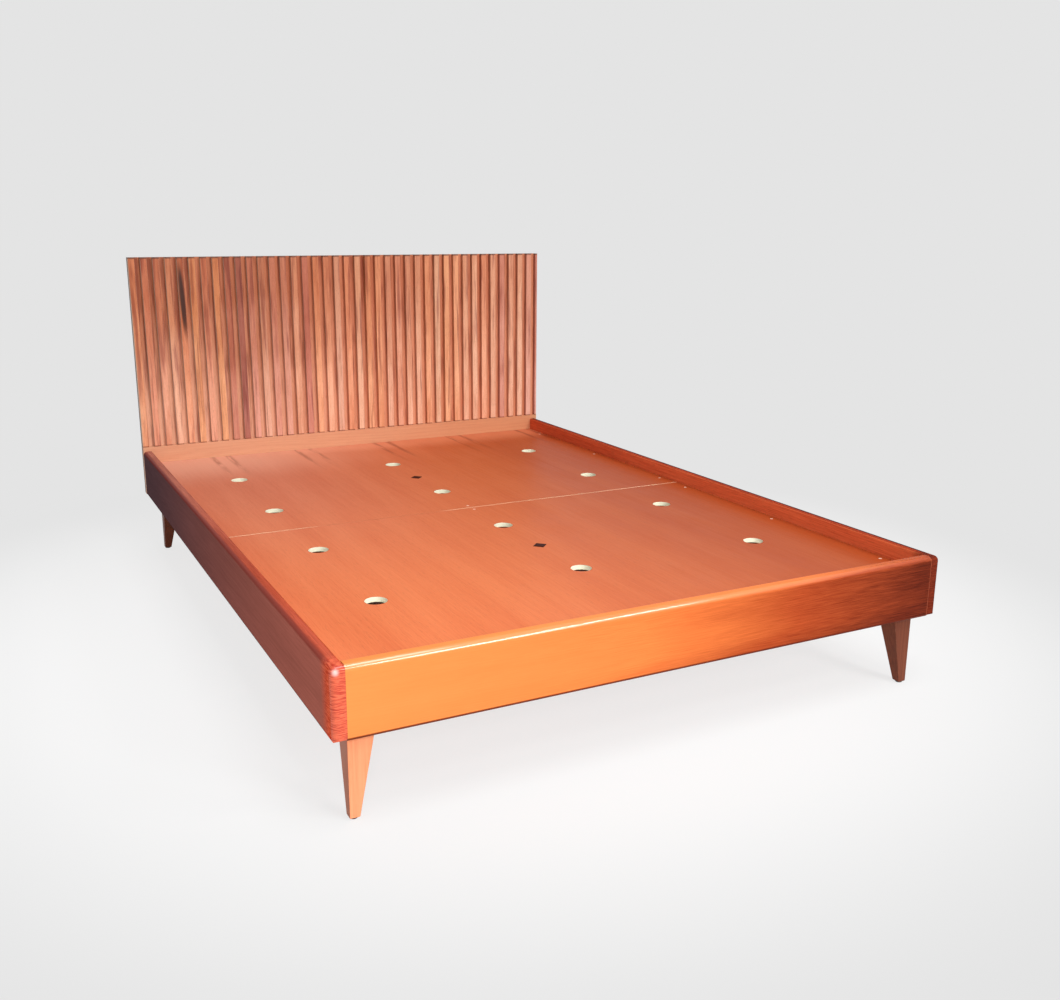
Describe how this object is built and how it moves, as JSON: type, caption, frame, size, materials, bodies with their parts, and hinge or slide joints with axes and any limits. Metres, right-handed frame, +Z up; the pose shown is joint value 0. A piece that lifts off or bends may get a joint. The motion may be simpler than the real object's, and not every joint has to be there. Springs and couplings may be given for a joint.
{
  "type": "slatted bed frame",
  "caption": "Low wooden bed frame for a wide mattress: drilled deck panels, rounded rails, tapered corner legs and an upright headboard faced with narrow vertical slats.",
  "frame": {"origin": "on the floor, under the centre of the bed's bounding box", "axes": "+X to the right as seen from the foot, +Y towards the headboard, +Z up"},
  "size_m": [1.474, 2.06, 0.955],
  "materials": {
    "rail_wood": "satin lacquer, warm brown with lengthwise grain",
    "foot_rail_wood": "satin lacquer, orange brown with lengthwise grain",
    "deck_wood": "semi-gloss lacquer, orange with grain along the bed",
    "backing_wood": "satin, even orange brown",
    "base_board_wood": "satin, light orange with grain across the bed",
    "slat_wood": "satin, each strip in its own tone from pale peach to mauve brown",
    "inner_wood": "unfinished pale softwood",
    "leg_wood": "satin lacquer, upright grain",
    "cap_wood": "dark red brown lacquer",
    "dowel_wood": "fluted beech, unfinished",
    "screw_steel": "zinc plated",
    "insert_brass": "plain brass",
    "glide_plastic": "dark nylon"
  },
  "bodies": {
    "root": {"side_rail_left": "rail_wood", "side_rail_right": "rail_wood", "foot_rail": "foot_rail_wood", "head_rail": "inner_wood", "headboard_backing": "backing_wood", "headboard_base_board": "base_board_wood", "slats_01_02": "slat_wood", "slats_03_04": "slat_wood", "slats_05_06": "slat_wood", "slats_07_08": "slat_wood", "slats_09_10": "slat_wood", "slats_11_12": "slat_wood", "slats_13_14": "slat_wood", "slats_15_16": "slat_wood", "slats_17_18": "slat_wood", "slats_19_20": "slat_wood", "slats_21_22": "slat_wood", "slats_23_24": "slat_wood", "slats_25_26": "slat_wood", "slats_27_28": "slat_wood", "slats_29_30": "slat_wood", "slats_31_32": "slat_wood", "slats_33_34": "slat_wood", "slats_35_36": "slat_wood", "slats_37_38": "slat_wood", "slats_39_40": "slat_wood", "deck_panel_foot": "deck_wood", "deck_panel_head": "deck_wood", "centre_cap_foot": "cap_wood", "centre_cap_head": "cap_wood", "ledger_left": "inner_wood", "ledger_right": "inner_wood", "ledger_foot": "inner_wood", "bearer_foot": "inner_wood", "bearer_seam": "inner_wood", "bearer_head": "inner_wood", "corner_block_foot_left": "inner_wood", "corner_block_foot_right": "inner_wood", "corner_block_head_left": "inner_wood", "corner_block_head_right": "inner_wood", "leg_foot_left": "leg_wood", "leg_foot_right": "leg_wood", "leg_head_left": "leg_wood", "leg_head_right": "leg_wood", "centre_leg": "inner_wood", "leg_glides": "glide_plastic", "leg_bolts": "screw_steel", "leg_inserts": "insert_brass", "bed_bolts": "screw_steel", "barrel_nuts": "screw_steel", "rail_dowels": "dowel_wood", "deck_screws": "screw_steel", "ledger_screws": "screw_steel"}
  },
  "joints": []
}
